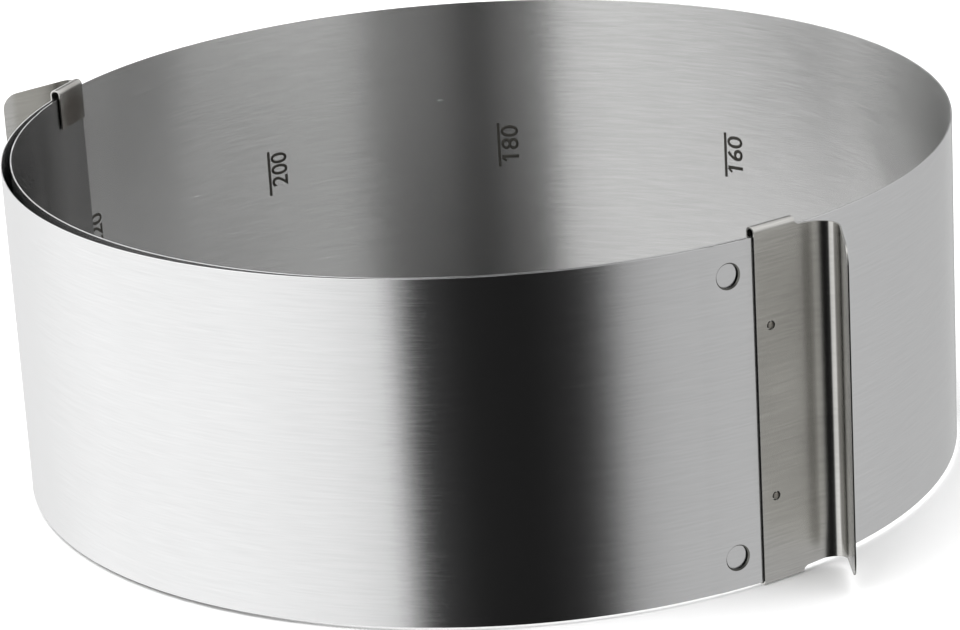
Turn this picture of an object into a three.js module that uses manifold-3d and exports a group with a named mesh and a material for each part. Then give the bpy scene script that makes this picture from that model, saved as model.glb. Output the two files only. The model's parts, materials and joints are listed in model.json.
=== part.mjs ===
// Adjustable cake ring: one long strip of spring steel rolled round on itself.
// Each end of the strip carries a folded sheet clip. The clip hooks over both laps
// and ends in a curled grip, so the ring opens and closes as the laps slide.
// The strip bends all along its length, so it is built of short panels that hinge
// on upright lines through the middle of the sheet.
// Millimetres, +Z up. The ring stands on the lower hooks of its two clips.
import * as THREE from 'three';
import { mergeVertices } from 'three/addons/utils/BufferGeometryUtils.js';
import Module from 'manifold-3d';

const wasm = await Module();
wasm.setup();

// Band
const bandThickness = 0.35;
const bandHeight = 78.7;
// Radius of the outer lap, measured to the middle of the sheet.
const bandRadius = 110.65;
// Distance between the two laps at the inner and at the outer end of the strip, from the
// middle of one sheet to the middle of the other.
const innerEndPitch = 1.05;
const outerEndPitch = 0.6;
// Extra gap where the inner lap springs away from the outer one, and the turn it spans.
const lapBulge = 1.9;
const bulgeStart = -4;
const bulgeEnd = 115;
// Where the two ends of the strip lie round the ring, in degrees.
const innerEndAngle = 152;
const outerEndAngle = 306.1;
// Panels that stand for the bending strip. The two end panels carry the clips.
const middlePanels = 48;
const endPanelLength = 24;
const panelGap = 0.2;
const panelFacets = 4;

// Punched finger holes beside the outer clip
const holeRadius = 3;
const holeFromClip = 6.3;
const holeFromEdge = 7.3;

// Clips
const clipSheet = 0.4;
// Length along the band over which the clip hooks over its edges.
const hookLength = 11;
// Room between the plate and the lips, for two laps and their play.
const clipMouth = 1.9;
// Length of a lip, from the top of its fold.
const lipLength = 9.8;
// Outside radius of the two corners of each fold.
const foldRadius = 0.9;
const foldFacets = 5;
// Play between the band's edges and the inside of the lower and upper hooks.
const lowerPlay = 0.45;
const upperPlay = 1.75;
// Height of the plate just past the hooks.
const plateHeight = 78.5;
const stepLength = 0.8;
const curlRadius = 3.45;
const curlFacets = 14;
// Both clips are cut alike, and this is their length laid flat, from free edge to grip end.
const clipLength = 37.3;
// Each clip is bent at its own place and by its own amount, in degrees.
const outerPlateLength = 16.8;
const outerCurlTurn = 123;
const innerPlateLength = 13.3;
const innerCurlTurn = 140;
const gripCorner = 3.5;
const cornerFacets = 6;
// Fall of the clip's upper edge from the hook to the end of the grip, in degrees.
const clipTaper = 4.6;

// Spot welds that hold each clip to its own end of the strip
const weldGap = 0.2;
const weldPlugRadius = 0.85;
const weldHoleClearance = 0.2;
const weldFromEdge = 3.8;
const weldLowest = 19.3;
const weldSpacing = 39;
const weldSeat = 0.05;
const weldSink = 0.1;
const lipWeldRadius = 1.5;
// From the free end of a lip to the middle of its weld.
const lipWeldFromEnd = 3.4;

const degrees = Math.PI / 180;
const lapAngle = outerEndAngle - innerEndAngle;
const stripAngle = 360 + lapAngle;
const bandBottom = clipSheet + lowerPlay;
const clipHeight = bandHeight + lowerPlay + upperPlay + 2 * clipSheet;

const steel = new THREE.MeshStandardMaterial({ color: 0xb7b9ba, roughness: 0.32, metalness: 1 });
const clipSteel = new THREE.MeshStandardMaterial({ color: 0xa9a8a4, roughness: 0.3, metalness: 1 });
const weldSteel = new THREE.MeshStandardMaterial({ color: 0x8b8780, roughness: 0.45, metalness: 1 });

const ring = new THREE.Group();

// Solids for cutting and joining

function toSolid(geometry) {
  const plain = geometry.clone();
  plain.deleteAttribute('normal');
  plain.deleteAttribute('uv');
  const merged = mergeVertices(plain, 1e-5);
  return new wasm.Manifold(new wasm.Mesh({
    numProp: 3,
    vertProperties: new Float32Array(merged.attributes.position.array),
    triVerts: new Uint32Array(merged.index.array),
  }));
}

function toGeometry(solid) {
  const mesh = solid.getMesh();
  const geometry = new THREE.BufferGeometry();
  const positions = new Float32Array(mesh.numVert * 3);
  for (let i = 0; i < mesh.numVert; i += 1) {
    for (let k = 0; k < 3; k += 1) {
      positions[3 * i + k] = mesh.vertProperties[mesh.numProp * i + k];
    }
  }
  geometry.setAttribute('position', new THREE.BufferAttribute(positions, 3));
  geometry.setIndex(new THREE.BufferAttribute(new Uint32Array(mesh.triVerts), 1));
  geometry.computeVertexNormals();
  return geometry;
}

function addMesh(name, geometry, material) {
  const mesh = new THREE.Mesh(geometry, material);
  mesh.name = name;
  ring.add(mesh);
  return mesh;
}

// Course of the strip: a little more than one turn, from the inner end to the outer end

function ease(x) {
  const t = Math.min(Math.max(x, 0), 1);
  return t * t * (3 - 2 * t);
}

function lapRadius(turn) {
  const outward = turn < lapAngle ? 0 : ease((turn - lapAngle) / (360 - lapAngle));
  const x = (turn - bulgeStart) / (bulgeEnd - bulgeStart);
  const bulge = x > 0 && x < 1 ? lapBulge * Math.sin(Math.PI * x) ** 2 : 0;
  const share = Math.min(Math.max(turn / lapAngle, 0), 1);
  const pitch = innerEndPitch + (outerEndPitch - innerEndPitch) * share;
  return bandRadius - pitch * (1 - outward) - bulge;
}

function coursePoint(turn) {
  const angle = (innerEndAngle + turn) * degrees;
  const r = lapRadius(turn);
  return new THREE.Vector2(r * Math.cos(angle), r * Math.sin(angle));
}

const courseSteps = 20000;
const course = [];
let courseLength = 0;
for (let i = 0; i <= courseSteps; i += 1) {
  const turn = stripAngle * i / courseSteps;
  const point = coursePoint(turn);
  const nudge = 1e-4;
  const ahead = coursePoint(turn + nudge).sub(coursePoint(turn - nudge));
  let heading = Math.atan2(ahead.y, ahead.x);
  if (i > 0) {
    const last = course[i - 1];
    courseLength += point.distanceTo(last.point);
    heading += 2 * Math.PI * Math.round((last.heading - heading) / (2 * Math.PI));
  }
  course.push({ along: courseLength, point, heading });
}

function courseAt(along) {
  let low = 0;
  let high = courseSteps;
  while (high - low > 1) {
    const middle = (low + high) >> 1;
    if (course[middle].along > along) high = middle;
    else low = middle;
  }
  const a = course[low];
  const b = course[high];
  const t = (along - a.along) / (b.along - a.along);
  return {
    point: a.point.clone().lerp(b.point, t),
    heading: a.heading + (b.heading - a.heading) * t,
  };
}

// Panels follow the course as arcs, and each end of the strip is flat inside its clip

const panelCount = middlePanels + 2;
const middlePanelLength = (courseLength - 2 * endPanelLength) / middlePanels;

function panelStart(index) {
  return index === 0 ? 0 : endPanelLength + (index - 1) * middlePanelLength;
}

function panelEnd(index) {
  return index === panelCount - 1 ? courseLength : endPanelLength + index * middlePanelLength;
}

function boundaryHeading(along) {
  if (along === 0) return courseAt(hookLength / 2).heading;
  if (along === courseLength) return courseAt(courseLength - hookLength / 2).heading;
  return courseAt(along).heading;
}

function step(pose, length, turn) {
  const heading = pose.heading + turn;
  if (Math.abs(turn) < 1e-9) {
    const move = new THREE.Vector2(Math.cos(heading), Math.sin(heading)).multiplyScalar(length);
    return { point: pose.point.clone().add(move), heading };
  }
  const radius = length / turn;
  const move = new THREE.Vector2(
    radius * (Math.sin(heading) - Math.sin(pose.heading)),
    radius * (Math.cos(pose.heading) - Math.cos(heading)),
  );
  return { point: pose.point.clone().add(move), heading };
}

function outwardNormal(heading) {
  return new THREE.Vector2(Math.sin(heading), -Math.cos(heading));
}

function along(pose, length) {
  return step(pose, length, 0).point;
}

function flatPiece(start) {
  return { start, length: hookLength, turn: 0, facets: 1 };
}

function arcPiece(from, to, turn) {
  const chord = to.clone().sub(from);
  const heading = Math.atan2(chord.y, chord.x) - turn / 2;
  const length = chord.length() * (turn / 2) / Math.sin(turn / 2);
  return { start: { point: from, heading }, length, turn, facets: panelFacets };
}

const middleOfInnerFlat = courseAt(hookLength / 2);
const innerEnd = step(middleOfInnerFlat, -hookLength / 2, 0);
const innerFlatStop = along(middleOfInnerFlat, hookLength / 2);
const middleOfOuterFlat = courseAt(courseLength - hookLength / 2);
const outerFlatStart = step(middleOfOuterFlat, -hookLength / 2, 0);
const outerEnd = step(middleOfOuterFlat, hookLength / 2, 0);

const panels = [];
for (let i = 0; i < panelCount; i += 1) {
  const first = i === 0;
  const last = i === panelCount - 1;
  const turn = boundaryHeading(panelEnd(i)) - boundaryHeading(panelStart(i));
  const from = first ? innerFlatStop : courseAt(panelStart(i)).point;
  const to = last ? outerFlatStart.point : courseAt(panelEnd(i)).point;
  const pieces = [arcPiece(from, to, turn)];
  if (first) pieces.unshift(flatPiece(innerEnd));
  if (last) pieces.push(flatPiece(outerFlatStart));
  panels.push({ pieces, first, last });
}

function panelLine(panel) {
  const trimStart = panel.first ? 0 : panelGap / 2;
  const trimEnd = panel.last ? 0 : panelGap / 2;
  const line = [];
  panel.pieces.forEach((piece, k) => {
    const open = k === 0 ? trimStart : 0;
    const close = k === panel.pieces.length - 1 ? trimEnd : 0;
    const rate = piece.turn / piece.length;
    const run = (piece.length - open - close) / piece.facets;
    let here = step(piece.start, open, open * rate);
    if (k === 0) line.push(here);
    for (let f = 0; f < piece.facets; f += 1) {
      here = step(here, run, run * rate);
      line.push(here);
    }
  });
  return line;
}

function panelGeometry(panel) {
  const line = panelLine(panel);
  const shape = new THREE.Shape();
  const outer = line.map((p) => p.point.clone().addScaledVector(outwardNormal(p.heading), bandThickness / 2));
  const inner = line.map((p) => p.point.clone().addScaledVector(outwardNormal(p.heading), -bandThickness / 2));
  shape.setFromPoints(outer.concat(inner.reverse()));
  const geometry = new THREE.ExtrudeGeometry(shape, { depth: bandHeight, bevelEnabled: false, steps: 1 });
  geometry.translate(0, 0, bandBottom);
  return geometry;
}

// A round bar lying along the outward normal of a place on the band

function normalBar(radius, length, place, out, height, sides) {
  const bar = new THREE.CylinderGeometry(radius, radius, length, sides);
  const normal = outwardNormal(place.heading);
  bar.rotateZ(Math.atan2(normal.y, normal.x) - Math.PI / 2);
  const centre = place.point.clone().addScaledVector(normal, out);
  bar.translate(centre.x, centre.y, height);
  return bar;
}

panels.forEach((panel, i) => {
  let geometry = panelGeometry(panel);
  if (panel.last) {
    const rate = panel.pieces[0].turn / panel.pieces[0].length;
    const place = step(outerFlatStart, -holeFromClip, -holeFromClip * rate);
    let solid = toSolid(geometry);
    for (const height of [bandBottom + holeFromEdge, bandBottom + bandHeight - holeFromEdge]) {
      const punch = normalBar(holeRadius, 10 * bandThickness, place, 0, height, 32);
      solid = solid.subtract(toSolid(punch));
    }
    geometry = toGeometry(solid);
  }
  const mesh = addMesh(`band_${String(i + 1).padStart(2, '0')}`, geometry, steel);
  // The hinge line at the start of each panel passes through this point.
  mesh.userData.hinge = panel.pieces[0].start.point.toArray();
});

// Clip, drawn with x along the plate from its free edge, y outward and z up from mid height

const clipHalf = clipHeight / 2;
const lipOffset = clipMouth + clipSheet;

// One fold of the hook's section, from the outer face of the plate over to the lip
function foldLine(half, face, radius) {
  const line = [];
  for (const side of [0, 1]) {
    const across = side === 0 ? face - radius : -lipOffset - face + radius;
    for (let k = 0; k <= foldFacets; k += 1) {
      const angle = 90 * degrees * (side + k / foldFacets);
      line.push([across + radius * Math.cos(angle), half - radius + radius * Math.sin(angle)]);
    }
  }
  return line;
}

function hookProfile() {
  const lipEnd = clipHalf - lipLength;
  const outside = [...foldLine(clipHalf, clipSheet / 2, foldRadius), [-lipOffset - clipSheet / 2, lipEnd]];
  const innerCorner = foldRadius - clipSheet;
  const inside = [...foldLine(clipHalf - clipSheet, -clipSheet / 2, innerCorner), [-lipOffset + clipSheet / 2, lipEnd]];
  const upper = [...outside, ...inside.reverse()];
  const lower = upper.map(([y, z]) => [y, -z]).reverse();
  return [...upper, ...lower].map(([y, z]) => new THREE.Vector2(y, z));
}

function hookGeometry() {
  const shape = new THREE.Shape(hookProfile());
  const geometry = new THREE.ExtrudeGeometry(shape, { depth: hookLength, bevelEnabled: false, steps: 1 });
  // The profile's first axis is y, its second is z, and the depth runs along x.
  const turn = new THREE.Matrix4().makeBasis(
    new THREE.Vector3(0, 1, 0),
    new THREE.Vector3(0, 0, 1),
    new THREE.Vector3(1, 0, 0),
  );
  geometry.applyMatrix4(turn);
  return geometry;
}

// The plate beyond the hooks, the curl and the grip are one sheet swept along its length

function sheetStations(plateLength, curlTurn) {
  const stations = [];
  const slope = Math.tan(clipTaper * degrees);
  const halfAt = (run) => {
    const past = Math.max(run - hookLength, 0);
    return plateHeight / 2 + foldRadius * Math.max(1 - past / stepLength, 0) - past * slope;
  };
  let at = { point: new THREE.Vector2(hookLength / 2, 0), heading: 0 };
  let run = hookLength / 2;
  const push = (length, turn, lower) => {
    at = step(at, length, turn);
    run += length;
    stations.push({ ...at, half: halfAt(run) - lower });
  };
  push(0, 0, 0);
  push(hookLength / 2, 0, 0);
  push(stepLength, 0, 0);
  push(plateLength - hookLength - stepLength, 0, 0);
  const curlStep = curlTurn * degrees / curlFacets;
  const gripLength = clipLength - plateLength - curlRadius * curlTurn * degrees;
  for (let k = 0; k < curlFacets; k += 1) push(curlRadius * curlStep, curlStep, 0);
  push(gripLength - gripCorner, 0, 0);
  let reached = 0;
  for (let k = 1; k <= cornerFacets; k += 1) {
    const angle = 90 * degrees * k / cornerFacets;
    const next = gripCorner * Math.sin(angle);
    push(next - reached, 0, gripCorner * (1 - Math.cos(angle)));
    reached = next;
  }
  return stations;
}

function sheetGeometry(plateLength, curlTurn) {
  const stations = sheetStations(plateLength, curlTurn);
  const positions = [];
  const index = [];
  for (const s of stations) {
    const side = new THREE.Vector2(-Math.sin(s.heading), Math.cos(s.heading)).multiplyScalar(clipSheet / 2);
    for (const [sign, z] of [[1, -s.half], [-1, -s.half], [-1, s.half], [1, s.half]]) {
      positions.push(s.point.x + sign * side.x, s.point.y + sign * side.y, z);
    }
  }
  const quad = (a, b, c, d) => index.push(a, c, b, a, d, c);
  for (let i = 0; i + 1 < stations.length; i += 1) {
    for (let k = 0; k < 4; k += 1) {
      const next = (k + 1) % 4;
      quad(4 * i + k, 4 * i + next, 4 * i + 4 + next, 4 * i + 4 + k);
    }
  }
  const end = 4 * (stations.length - 1);
  quad(0, 3, 2, 1);
  quad(end, end + 1, end + 2, end + 3);
  const geometry = new THREE.BufferGeometry();
  geometry.setAttribute('position', new THREE.BufferAttribute(new Float32Array(positions), 3));
  geometry.setIndex(index);
  return geometry;
}

function clipSolid(plateLength, curlTurn) {
  return toSolid(hookGeometry()).add(toSolid(sheetGeometry(plateLength, curlTurn)));
}

// Places a clip drawn in its own axes: its x runs from the free edge towards the grip.

function clipMatrix(freeEdge, direction, out) {
  const x = new THREE.Vector3(direction.x, direction.y, 0);
  const y = new THREE.Vector3(out.x, out.y, 0);
  const z = new THREE.Vector3().crossVectors(x, y);
  const matrix = new THREE.Matrix4().makeBasis(x, y, z);
  matrix.setPosition(freeEdge.x, freeEdge.y, clipHalf);
  return matrix;
}

const weldHeights = [bandBottom + weldLowest, bandBottom + weldLowest + weldSpacing];

// The outer clip's plate lies over the strip's outer end and is plug welded to it.

const outerOut = outwardNormal(outerEnd.heading);
const outerRun = new THREE.Vector2(Math.cos(outerEnd.heading), Math.sin(outerEnd.heading));
const outerPlate = bandThickness / 2 + weldGap + clipSheet / 2;
const outerFreeEdge = outerFlatStart.point.clone().addScaledVector(outerOut, outerPlate);
let outerClip = clipSolid(outerPlateLength, outerCurlTurn);
for (const height of weldHeights) {
  const drill = new THREE.CylinderGeometry(
    weldPlugRadius + weldHoleClearance,
    weldPlugRadius + weldHoleClearance,
    6 * clipSheet,
    20,
  );
  drill.translate(weldFromEdge, 0, clipHalf - height);
  const local = toSolid(drill);
  outerClip = outerClip.subtract(local);
}
const outerClipGeometry = toGeometry(outerClip);
outerClipGeometry.applyMatrix4(clipMatrix(outerFreeEdge, outerRun, outerOut));
addMesh('clip_outer_end', outerClipGeometry, clipSteel);

const plugLength = weldGap + clipSheet - weldSeat - weldSink;
const plugOut = bandThickness / 2 + weldSeat + plugLength / 2;
const plugPlace = { point: along(outerEnd, weldFromEdge - hookLength), heading: outerEnd.heading };
['lower', 'upper'].forEach((word, k) => {
  const plug = normalBar(weldPlugRadius, plugLength, plugPlace, plugOut, weldHeights[k], 20);
  addMesh(`weld_outer_${word}`, plug, weldSteel);
});

// The inner clip is the other way up, and its lips are spot welded to the strip's inner end.

const innerOut = outwardNormal(innerEnd.heading);
const innerRun = new THREE.Vector2(-Math.cos(innerEnd.heading), -Math.sin(innerEnd.heading));
const innerPlate = lipOffset - (bandThickness / 2 + weldGap + clipSheet / 2);
const innerFreeEdge = along(innerEnd, hookLength).addScaledVector(innerOut, innerPlate);
const innerClipGeometry = toGeometry(clipSolid(innerPlateLength, innerCurlTurn));
innerClipGeometry.applyMatrix4(clipMatrix(innerFreeEdge, innerRun, innerOut));
addMesh('clip_inner_end', innerClipGeometry, clipSteel);

const lipWeldPlace = { point: along(innerEnd, hookLength / 2), heading: innerEnd.heading };
const lipWeldOut = -(bandThickness / 2 + weldGap / 2);
const lipWeldHeight = lipLength - lipWeldFromEnd;
['lower', 'upper'].forEach((word, k) => {
  const height = k === 0 ? lipWeldHeight : clipHeight - lipWeldHeight;
  const disc = normalBar(lipWeldRadius, weldGap - 2 * weldSeat, lipWeldPlace, lipWeldOut, height, 20);
  addMesh(`weld_inner_${word}`, disc, weldSteel);
});

// The origin is under the middle of the whole ring, on the surface that it stands on.

ring.updateMatrixWorld(true);
const box = new THREE.Box3().setFromObject(ring);
ring.position.set(-(box.min.x + box.max.x) / 2, -(box.min.y + box.max.y) / 2, -box.min.z);
ring.updateMatrixWorld(true);

export default ring;
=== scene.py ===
# %% [markdown]
# # An adjustable cake ring
# The ring is one long strip of thin brushed steel, rolled a little less than one and a half times round. A
# folded clip sits on each end of the strip and hooks over both laps, so the laps can slide and the ring
# opens or closes. Each cell makes one piece or one finish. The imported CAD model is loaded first, and
# everything is fitted to it.

# %% Load the CAD frame
import json
import math
from collections import namedtuple

import bmesh
import bpy
import numpy as np
from mathutils import Matrix, Vector

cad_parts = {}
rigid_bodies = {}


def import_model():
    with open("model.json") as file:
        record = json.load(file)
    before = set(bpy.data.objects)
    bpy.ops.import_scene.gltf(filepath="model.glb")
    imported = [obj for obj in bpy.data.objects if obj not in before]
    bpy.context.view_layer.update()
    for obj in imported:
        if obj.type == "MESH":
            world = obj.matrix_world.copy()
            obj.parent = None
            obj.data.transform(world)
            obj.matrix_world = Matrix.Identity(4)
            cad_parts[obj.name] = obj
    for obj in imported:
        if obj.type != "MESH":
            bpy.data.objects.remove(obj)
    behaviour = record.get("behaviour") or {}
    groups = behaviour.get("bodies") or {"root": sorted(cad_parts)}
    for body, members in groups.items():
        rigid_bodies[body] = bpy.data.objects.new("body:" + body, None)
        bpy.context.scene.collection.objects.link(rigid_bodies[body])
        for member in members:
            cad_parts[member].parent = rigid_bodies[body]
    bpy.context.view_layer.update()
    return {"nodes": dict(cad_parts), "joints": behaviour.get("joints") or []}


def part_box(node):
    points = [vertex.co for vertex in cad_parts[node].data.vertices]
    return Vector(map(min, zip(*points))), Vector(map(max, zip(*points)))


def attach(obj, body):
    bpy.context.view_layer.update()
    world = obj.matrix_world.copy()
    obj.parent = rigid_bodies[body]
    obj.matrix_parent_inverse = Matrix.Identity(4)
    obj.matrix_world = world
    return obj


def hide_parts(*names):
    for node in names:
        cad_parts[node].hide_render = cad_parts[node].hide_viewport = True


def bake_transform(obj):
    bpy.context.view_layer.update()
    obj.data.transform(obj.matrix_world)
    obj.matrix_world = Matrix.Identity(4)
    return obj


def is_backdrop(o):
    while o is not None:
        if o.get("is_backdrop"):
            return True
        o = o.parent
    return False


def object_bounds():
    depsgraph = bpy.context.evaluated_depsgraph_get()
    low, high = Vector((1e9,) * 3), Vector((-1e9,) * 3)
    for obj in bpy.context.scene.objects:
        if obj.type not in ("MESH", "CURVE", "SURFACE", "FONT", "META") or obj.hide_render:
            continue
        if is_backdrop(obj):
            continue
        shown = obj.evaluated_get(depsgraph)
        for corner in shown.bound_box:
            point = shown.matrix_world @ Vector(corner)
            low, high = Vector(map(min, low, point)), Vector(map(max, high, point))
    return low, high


MM = 0.001
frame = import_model()


def in_millimetres(low, high):
    return [round((b - a) / MM, 1) for a, b in zip(low, high)]


# %% [markdown]
# Operators act on whatever is selected, and loading leaves all the CAD nodes selected. So every step
# starts with nothing selected and then selects one piece. In edit mode, points and edges are picked in
# code, by their place or by the faces beside them, because there is no mouse to pick them with.

# %% Helpers to select and pick


def clear_selection():
    if bpy.context.mode != "OBJECT":
        bpy.ops.object.mode_set(mode="OBJECT")
    bpy.ops.object.select_all(action="DESELECT")


def make_active(piece):
    clear_selection()
    piece.select_set(True)
    bpy.context.view_layer.objects.active = piece


def edit(piece):
    make_active(piece)
    bpy.ops.object.mode_set(mode="EDIT")


def leave_edit():
    bpy.ops.object.mode_set(mode="OBJECT")


def pick(piece, kind, wanted):
    bpy.ops.mesh.select_mode(type=kind)
    bpy.ops.mesh.select_all(action="DESELECT")
    shape = bmesh.from_edit_mesh(piece.data)
    for item in shape.verts if kind == "VERT" else shape.edges:
        item.select = bool(wanted(item))
    shape.select_flush_mode()
    bmesh.update_edit_mesh(piece.data)


def pick_points(piece, wanted):
    pick(piece, "VERT", lambda point: wanted(point.co))


def pick_edges(piece, wanted):
    pick(piece, "EDGE", wanted)


clear_selection()

# %% [markdown]
# Sheet metal is shaped by a few moves: a flat blank is cut, its end is carried on or bent round an axis,
# and edges are finished. Extrude and spin are those moves in Blender. A modifier is applied at once, and
# so are the place and turn of a piece, because a finished piece sits at the origin with its place in its
# mesh.

# %% Helpers to shape a sheet


def apply_modifier(piece, kind, **settings):
    make_active(piece)
    modifier = piece.modifiers.new(kind.lower(), kind)
    for key, value in settings.items():
        setattr(modifier, key, value)
    bpy.ops.object.modifier_apply(modifier=modifier.name)


def apply_place(piece):
    make_active(piece)
    bpy.ops.object.transform_apply(location=True, rotation=True, scale=True)


def smooth(piece, degrees):
    make_active(piece)
    bpy.ops.object.shade_smooth_by_angle(angle=math.radians(degrees))


def add_sheet(name, size, turned, middle):
    clear_selection()
    bpy.ops.mesh.primitive_plane_add(size=1)
    sheet = bpy.context.object
    sheet.name = name
    sheet.data.name = name
    sheet.dimensions = size
    sheet.rotation_euler = turned
    sheet.location = middle
    apply_place(sheet)
    return sheet


# Spin turns against the right-hand rule, so the angle changes sign here.
def spin_picked(centre, axis, turn, steps):
    bpy.ops.mesh.spin(steps=steps, angle=-turn, center=centre, axis=axis)


def push_out(move):
    bpy.ops.mesh.extrude_region_move(TRANSFORM_OT_translate={"value": move})


print("a sheet can be cut, carried on and bent")

# %% [markdown]
# The CAD strip is fifty short curved panels joined by hinges, which stand for one strip that bends all
# along its length. The course of the real strip is read back from them: each panel gives the points along
# the middle of its sheet, and a circle through three of them gives the centre that it bends round.

# %% Read the course of the strip from its panels
PANELS = 50
TOUCH = 0.01 * MM
panel_names = [f"band_{number:02d}" for number in range(1, PANELS + 1)]
band_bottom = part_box("band_10")[0].z
band_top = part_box("band_10")[1].z
band_height = band_top - band_bottom


# The corners of a panel's top edge lie in pairs across the sheet. Rounding to a tenth of a micron merges
# equal ones.
def middle_points(name):
    corners = np.array([v.co for v in frame["nodes"][name].data.vertices])
    upper = corners[corners[:, 2] > band_top - TOUCH][:, :2]
    flat = np.unique(np.round(upper, 7), axis=0)
    towards = flat.mean(axis=0)
    turn = np.arctan2(towards[1], towards[0])
    angles = np.arctan2(flat[:, 1], flat[:, 0]) - turn
    angles = (angles + np.pi) % (2 * np.pi)
    ordered = flat[np.argsort(angles)]
    return (ordered[0::2] + ordered[1::2]) / 2


def circle_through(a, b, c):
    rows = np.array([b - a, c - a])
    half = np.array([(b @ b - a @ a) / 2, (c @ c - a @ a) / 2])
    return np.linalg.solve(rows, half)


hinges = {}
for joint in frame["joints"]:
    pair = frozenset((joint["parent"], joint["child"]))
    hinges[pair] = np.array(joint["pos_m"][:2])

bends = {name: middle_points(name) for name in panel_names}
inner_end = bends["band_01"][0]
inner_flat_stop = bends["band_01"][1]
outer_flat_start = bends["band_50"][-2]
outer_end = bends["band_50"][-1]
bends["band_01"] = bends["band_01"][1:]
bends["band_50"] = bends["band_50"][:-1]
centres = {}
for name, points in bends.items():
    centres[name] = circle_through(points[0], points[len(points) // 2], points[-1])
radii = [np.linalg.norm(bends[name][0] - centres[name]) / MM for name in panel_names]
print("band is", round(band_height / MM, 2), "mm high")
print("its panels bend at", round(min(radii), 1), "to", round(max(radii), 1), "mm")

# %% [markdown]
# Shader maths is easier to read as plain expressions. A Value wraps one socket, and each operator adds a
# Math node. Any other node comes from one method, which takes the node's type, its settings and what goes
# into its sockets.

# %% Small tools for materials


def grey(level):
    return (level, level, level, 1.0)


class Value:
    def __init__(self, nodes, socket):
        self.nodes = nodes
        self.socket = socket

    def maths(self, operation, first, second):
        return self.nodes.add("ShaderNodeMath", {"operation": operation}, {0: first, 1: second})

    def __add__(self, other):
        return self.maths("ADD", self, other)

    def __radd__(self, other):
        return self.maths("ADD", other, self)

    def __sub__(self, other):
        return self.maths("SUBTRACT", self, other)

    def __rsub__(self, other):
        return self.maths("SUBTRACT", other, self)

    def __mul__(self, other):
        return self.maths("MULTIPLY", self, other)

    def __rmul__(self, other):
        return self.maths("MULTIPLY", other, self)


class Nodes:
    def __init__(self, tree):
        self.tree = tree
        self.tree.nodes.clear()

    def add(self, kind, settings=None, inputs=None, output=0):
        node = self.tree.nodes.new(kind)
        for key, value in (settings or {}).items():
            if key == "stops":
                self.set_stops(node.color_ramp, value)
            else:
                setattr(node, key, value)
        for key, value in (inputs or {}).items():
            if isinstance(value, Value):
                self.tree.links.new(value.socket, node.inputs[key])
            else:
                node.inputs[key].default_value = value
        return Value(self, node.outputs[output]) if len(node.outputs) else node

    def set_stops(self, ramp, stops):
        while len(ramp.elements) > 1:
            ramp.elements.remove(ramp.elements[-1])
        ramp.elements[0].position = stops[0][0]
        ramp.elements[0].color = grey(stops[0][1])
        for position, level in stops[1:]:
            ramp.elements.new(position).color = grey(level)


def new_finish(name):
    material = bpy.data.materials.new(name)
    material.use_nodes = True
    return material, Nodes(material.node_tree)


def mix_colours(nodes, share, first, second, way="MIX"):
    kind = {"data_type": "RGBA", "blend_type": way}
    return nodes.add("ShaderNodeMix", kind, {0: share, 6: first, 7: second}, output=2)


def noise(nodes, place, scale, detail, fine=0.5):
    inputs = {"Vector": place, "Scale": scale, "Detail": detail, "Roughness": fine}
    return nodes.add("ShaderNodeTexNoise", inputs=inputs)


print("material tools ready")

# %% [markdown]
# A patch is painted shade on a finish. It multiplies the colour by a tone, in full near its middle and
# fading out further away. Its reach says which directions count: a patch that takes no height into account
# stands upright along the whole piece.

# %% Patches of painted shade on a finish
Patch = namedtuple("Patch", "where near far tone reach")
ALL_ROUND = Vector((1, 1, 1))
UPRIGHT = Vector((1, 1, 0))


def add_patch(nodes, place, colour, patch):
    reached = {0: place, 1: patch.reach}
    there = nodes.add("ShaderNodeVectorMath", {"operation": "MULTIPLY"}, reached)
    ends = {0: there, 1: patch.where * patch.reach}
    away = nodes.add("ShaderNodeVectorMath", {"operation": "DISTANCE"}, ends, output="Value")
    limits = {0: away, 1: patch.near, 2: patch.far}
    fade = nodes.add("ShaderNodeMapRange", {"interpolation_type": "SMOOTHSTEP"}, limits)
    return mix_colours(nodes, 1.0 - fade, colour, patch.tone, "MULTIPLY")


print("a patch has", ", ".join(Patch._fields))

# %% [markdown]
# The strip is spring steel that was brushed along its length before it was rolled. Brushing leaves fine
# level lines, and it smears reflections upwards and downwards while they stay fairly crisp sideways. A
# picture of brushed metal could give the lines, but it would repeat and need unwrapping, so they come from
# noise that is stretched flat. The smear comes from the shader's own anisotropy, set as a plain number.
# The clips are brushed in the same way, so one function makes every steel finish.

# %% Brushed steel
LINE_STRETCH = (90.0, 90.0, 3600.0)
SCRATCH_STRETCH = (60.0, 60.0, 20000.0)
SMUDGE_SCALE = 28.0
LINE_DEPTH = 0.5
RELIEF = 0.01 * MM
ROUGHNESS_SPREAD = 0.05
UPRIGHT_SMEAR = 0.25


def stretched_noise(nodes, place, stretch, detail, fine=0.5):
    along = nodes.add("ShaderNodeMapping", inputs={"Vector": place, "Scale": stretch})
    return noise(nodes, along, 1.0, detail, fine)


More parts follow.
